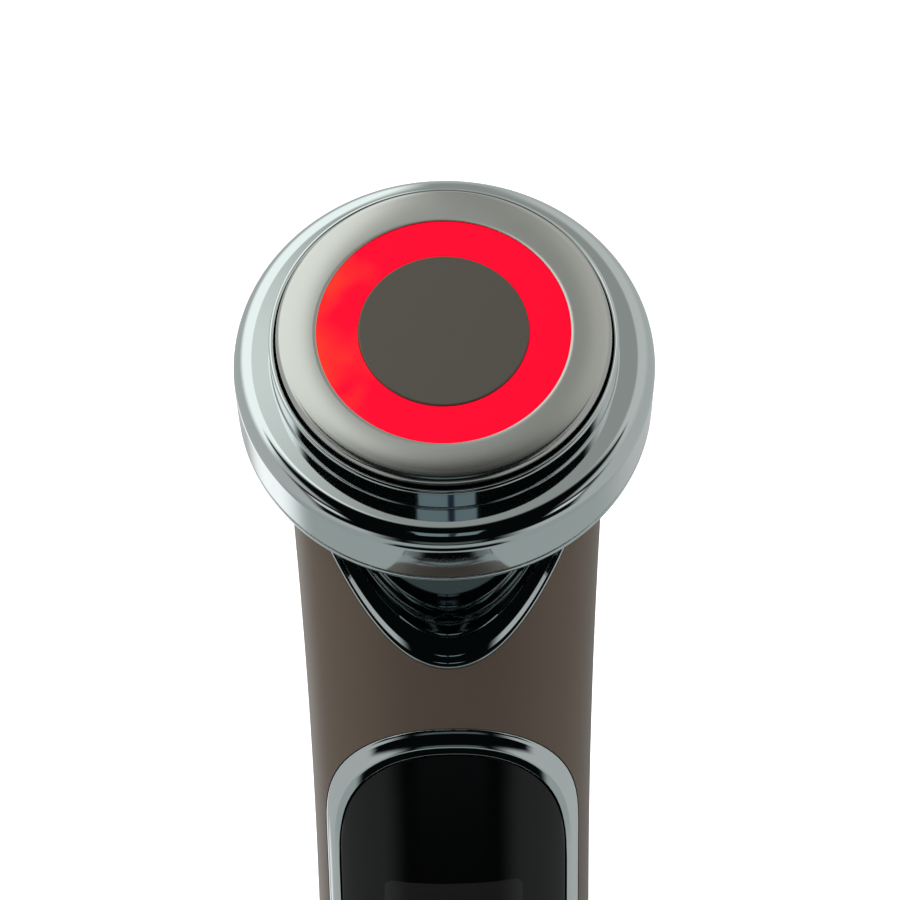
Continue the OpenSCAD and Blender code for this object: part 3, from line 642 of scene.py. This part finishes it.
cable_r, groove_r, groove_low, groove_high, core_in, housing_floor = 3.2, 19.17, 11.0, 12.2, 18.35, 1.6
housing_section = [(cable_r, 0), (rim_r, 0), (rim_r, rim_h), (core_r, rim_h), (core_r, groove_low),
                   (groove_r, groove_low), (groove_r, groove_high), (core_r, groove_high), (core_r, core_top),
                   (core_in, core_top), (core_in, housing_floor), (cable_r, housing_floor)]
head_housing = turned("head_drum", housing_section, 0.16)
dress(head_housing, bright_chrome)
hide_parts("head_housing")

steel_section = [(15.35, 14.9), (15.35, 15.9)]
round_to(steel_section, (15.4, 15.95), (0.05, 0.05), 180, 95, 3)
steel_section += [(15.5 + 3.9 * k / 12, 16.0 - 0.26 * (k / 12) ** 2.2) for k in range(1, 12)]
round_to(steel_section, (19.4, 14.84), (0.9, 0.9), 82, 0, 12)
steel_section += [(20.3, face_low), (19.2, face_low), (19.2, 14.5), (18.8, 14.9)]
outer_electrode = turned("outer_electrode_steel", steel_section)
dress(outer_electrode, brushed_face)
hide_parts("outer_electrode")

centre_section = [(9.3, face_low), (9.3, 14.25), (10.35, 14.25), (10.35, 15.75)]
round_to(centre_section, (10.1, 15.75), (0.25, 0.25), 0, 90, 5)
centre_electrode = turned("centre_electrode_disc", centre_section, closed=False, capped=True)
dress(centre_electrode, centre_satin)
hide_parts("centre_electrode")


def build_lit_ring():
    """Red diffuser lit from below, a little warmer and dimmer in soft patches."""
    made = bpy.data.materials.new("lit_red_diffuser")
    made.use_nodes = True
    tree = made.node_tree
    shader = tree.nodes["Principled BSDF"]
    shader.inputs["Base Color"].default_value = (0.25, 0.001, 0.01, 1)
    shader.inputs["Roughness"].default_value = 0.3
    shader.inputs["Specular IOR Level"].default_value = 0.08
    where = tree.nodes.new("ShaderNodeTexCoord")
    axes = tree.nodes.new("ShaderNodeSeparateXYZ")
    towards_left = tree.nodes.new("ShaderNodeMapRange")
    towards_left.inputs["From Min"].default_value = 3 * mm
    towards_left.inputs["From Max"].default_value = -14 * mm
    patches = add(tree, "ShaderNodeTexNoise", Scale=105.0, Detail=2.0, Roughness=0.5)
    warmth = tree.nodes.new("ShaderNodeMath")
    warmth.operation = "MULTIPLY"
    tones = tree.nodes.new("ShaderNodeValToRGB")
    red, orange = tones.color_ramp.elements
    red.position, red.color = 0.36, (1.0, 0.001, 0.021, 1)
    orange.position, orange.color = 0.62, (1.0, 0.05, 0.012, 1)
    tree.links.new(where.outputs["Object"], patches.inputs["Vector"])
    tree.links.new(where.outputs["Object"], axes.inputs[0])
    tree.links.new(axes.outputs["X"], towards_left.inputs["Value"])
    tree.links.new(patches.outputs["Fac"], warmth.inputs[0])
    tree.links.new(towards_left.outputs["Result"], warmth.inputs[1])
    tree.links.new(warmth.outputs[0], tones.inputs["Fac"])
    tree.links.new(tones.outputs["Color"], shader.inputs["Emission Color"])
    shader.inputs["Emission Strength"].default_value = 0.95
    return made


light_section = [(9.4, face_low), (16.3, face_low), (16.3, 14.2), (15.3, 14.2), (15.3, 15.84), (15.22, 15.92),
                 (10.48, 15.92), (10.4, 15.84), (10.4, 14.2), (9.4, 14.2)]
light_ring = turned("light_ring_diffuser", light_section)
dress(light_ring, build_lit_ring())
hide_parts("light_ring")

# ---------------------------------------------------------------------------
# Pad ring. A chromed ring drops over the head and clamps a cotton pad between
# its collar and the face; it pulls straight off along the head's axis.
# ---------------------------------------------------------------------------
flange_h, flange_round, collar_h, collar_in, collar_out = 10.4, 2.4, 14.4, 20.55, 21.2
flange_r, skirt_wall, skirt_low = 25.9, 1.1, 1.15
pad_section = [(rim_r - skirt_wall, skirt_low), (rim_r - 0.3, skirt_low)]
round_to(pad_section, (rim_r - 0.3, skirt_low + 0.3), (0.3, 0.3), -75, 0, 4)
round_to(pad_section, (flange_r - flange_round, flange_h - flange_round), (flange_round, flange_round),
         0, 90, 16)
round_to(pad_section, (collar_out + 0.25, flange_h + 0.25), (0.25, 0.25), 270, 180, 4)
round_to(pad_section, ((collar_in + collar_out) / 2, collar_h - 0.325), (0.325, 0.325), 0, 180, 10)
pad_section += [(collar_in, flange_h - 1.1), (flange_r - flange_round, flange_h - 1.1),
                (flange_r - skirt_wall, flange_h - flange_round)]
pad_ring = turned("pad_ring_chrome", pad_section)
dress(pad_ring, bright_chrome)
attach(pad_ring, "pad_ring")
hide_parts("pad_ring")

# ---------------------------------------------------------------------------
# Studio. A white floor, a surround painted with pale and dark stretches for
# the chrome to mirror, two soft boxes, and a long lens looking down at the head.
# ---------------------------------------------------------------------------
bpy.context.scene.view_settings.view_transform = "Standard"


def build_floor():
    made = bpy.data.materials.new("white_floor")
    made.use_nodes = True
    tree = made.node_tree
    shader = tree.nodes["Principled BSDF"]
    shader.inputs["Base Color"].default_value = (0.85, 0.85, 0.85, 1)
    shader.inputs["Roughness"].default_value = 0.9
    shader.inputs["Emission Color"].default_value = (1, 1, 1, 1)
    shader.inputs["Emission Strength"].default_value = 0.55
    return made


deselect()
bpy.ops.mesh.primitive_plane_add(size=30)
floor = bpy.context.object
floor.name = "floor"
dress(floor, build_floor())
floor.visible_glossy = False

world = bpy.data.worlds.new("studio")
bpy.context.scene.world = world
world.use_nodes = True
sky = world.node_tree
facing = sky.nodes.new("ShaderNodeTexCoord")
axes = sky.nodes.new("ShaderNodeSeparateXYZ")
sky.links.new(facing.outputs["Generated"], axes.inputs[0])
across = sky.nodes.new("ShaderNodeMath")
across.operation = "ABSOLUTE"
sky.links.new(axes.outputs["X"], across.inputs[0])
sight = {"x": axes.outputs["X"], "y": axes.outputs["Y"], "z": axes.outputs["Z"],
         "across": across.outputs[0]}


def zone(**spans):
    """How far a direction lies inside soft spans, each given as (where it starts, where it is full)."""
    product = None
    for name, (start, full) in spans.items():
        ramp = sky.nodes.new("ShaderNodeMapRange")
        ramp.interpolation_type = "SMOOTHSTEP"
        ramp.inputs["From Min"].default_value = min(start, full)
        ramp.inputs["From Max"].default_value = max(start, full)
        if full < start:
            ramp.inputs["To Min"].default_value, ramp.inputs["To Max"].default_value = 1.0, 0.0
        sky.links.new(sight[name.split("_")[0]], ramp.inputs["Value"])
        if product is None:
            product = ramp.outputs["Result"]
        else:
            times = sky.nodes.new("ShaderNodeMath")
            times.operation = "MULTIPLY"
            sky.links.new(product, times.inputs[0])
            sky.links.new(ramp.outputs["Result"], times.inputs[1])
            product = times.outputs[0]
    return product


def paint_sky(under, colour, **spans):
    """Lays a colour over the surround within a zone of directions."""
    over = sky.nodes.new("ShaderNodeMix")
    over.data_type = "RGBA"
    if isinstance(under, tuple):
        over.inputs["A"].default_value = (*under, 1)
    else:
        sky.links.new(under, over.inputs["A"])
    over.inputs["B"].default_value = (*colour, 1)
    sky.links.new(zone(**spans), over.inputs["Factor"])
    return over.outputs["Result"]


unlit = (0.002, 0.003, 0.003)
seen = paint_sky((0.5, 0.52, 0.515), (0.37, 0.415, 0.405), z=(-0.5, -0.7))
seen = paint_sky(seen, (0.34, 0.36, 0.34), z=(0.5, 0.8))
# overhead boards, the left one brighter
seen = paint_sky(seen, (1.2, 1.27, 1.22), x=(-0.015, -0.14), z=(0.35, 0.7), y=(-0.5, -0.35))
seen = paint_sky(seen, (0.62, 0.64, 0.61), x=(0.08, 0.28), z=(0.35, 0.7), y=(-0.5, -0.35))
# low white board behind the object, on its left
seen = paint_sky(seen, (1.15, 1.17, 1.17), x=(-0.25, -0.4), z=(-0.3, -0.42), z_low=(-0.75, -0.6),
                 y=(0.45, 0.6), x_low=(-0.68, -0.6))
# dark stretches in front, below and above
seen = paint_sky(seen, unlit, y=(-0.3, -0.45), across=(0.6, 0.3), z=(-0.66, -0.58))
seen = paint_sky(seen, (0.09, 0.11, 0.112), y=(-0.6, -0.8), across=(0.3, 0.15), z=(-0.56, -0.5),
                 z_high=(-0.3, -0.36))
seen = paint_sky(seen, unlit, y=(-0.35, -0.45), across=(0.86, 0.76), z=(-0.36, -0.28), z_high=(0.42, 0.3))
seen = paint_sky(seen, unlit, y=(-0.08, -0.16), across=(0.4, 0.3), z_high=(-0.8, -0.88))
seen = paint_sky(seen, unlit, y=(-0.3, -0.37), across=(0.62, 0.5), z=(-0.1, 0.1), z_high=(0.85, 0.8))
# a dim panel in front with a dark bar, and a pale patch at either side
seen = paint_sky(seen, (0.2, 0.26, 0.28), across=(0.155, 0.145), y=(-0.8, -0.84), z=(0.27, 0.3),
                 z_high=(0.55, 0.52))
seen = paint_sky(seen, (0.02, 0.028, 0.05), x=(0.0, 0.01), x_high=(0.045, 0.035), y=(-0.8, -0.84),
                 z=(0.27, 0.3), z_high=(0.55, 0.52))
seen = paint_sky(seen, (0.75, 0.78, 0.76), across=(0.56, 0.64), across_high=(0.8, 0.74), z=(-0.02, 0.06),
                 z_high=(0.24, 0.16), y=(-0.45, -0.6))
backdrop = sky.nodes.new("ShaderNodeMix")
backdrop.data_type = "RGBA"
backdrop.inputs["B"].default_value = (1, 1, 1, 1)
rays = sky.nodes.new("ShaderNodeLightPath")
sky.links.new(rays.outputs["Is Camera Ray"], backdrop.inputs["Factor"])
sky.links.new(seen, backdrop.inputs["A"])
sky.links.new(backdrop.outputs["Result"], sky.nodes["Background"].inputs["Color"])

aim = Vector((0, -0.005, 0.15))


def soft_box(name, place, size, power):
    light = bpy.data.lights.new(name, "AREA")
    light.shape, light.energy = "RECTANGLE", power
    light.size, light.size_y = size
    made = bpy.data.objects.new(name, light)
    made.location = place
    made.rotation_mode = "QUATERNION"
    made.rotation_quaternion = (aim - Vector(place)).to_track_quat("-Z", "Y")
    made.visible_glossy = False
    bpy.context.scene.collection.objects.link(made)


soft_box("left_box", (-0.75, -0.1, 0.95), (0.5, 0.7), 9)
soft_box("right_box", (0.85, 0.1, 0.8), (0.4, 0.7), 4.5)

tilt_down, roll, lens = radians(24), radians(-1), 105.0
face_centre = seat + head_axis * 15.97 * mm
distance, shift_right, shift_down = 315.5 * mm, 0.769 * mm, 14.459 * mm
side, back = Vector((1, 0, 0)), Vector((0, -cos(tilt_down), sin(tilt_down)))
upward = Vector((0, sin(tilt_down), cos(tilt_down)))
right, up = side * cos(roll) + upward * sin(roll), upward * cos(roll) - side * sin(roll)
eye = face_centre + back * distance + right * shift_right - up * shift_down
camera = bpy.data.objects.new("camera", bpy.data.cameras.new("camera"))
camera.data.lens, camera.data.sensor_width = lens, 36.0
camera.data.clip_start = 0.01
camera.matrix_world = Matrix((
    (right.x, up.x, back.x, eye.x), (right.y, up.y, back.y, eye.y), (right.z, up.z, back.z, eye.z),
    (0, 0, 0, 1)))
bpy.context.scene.collection.objects.link(camera)
bpy.context.scene.camera = camera
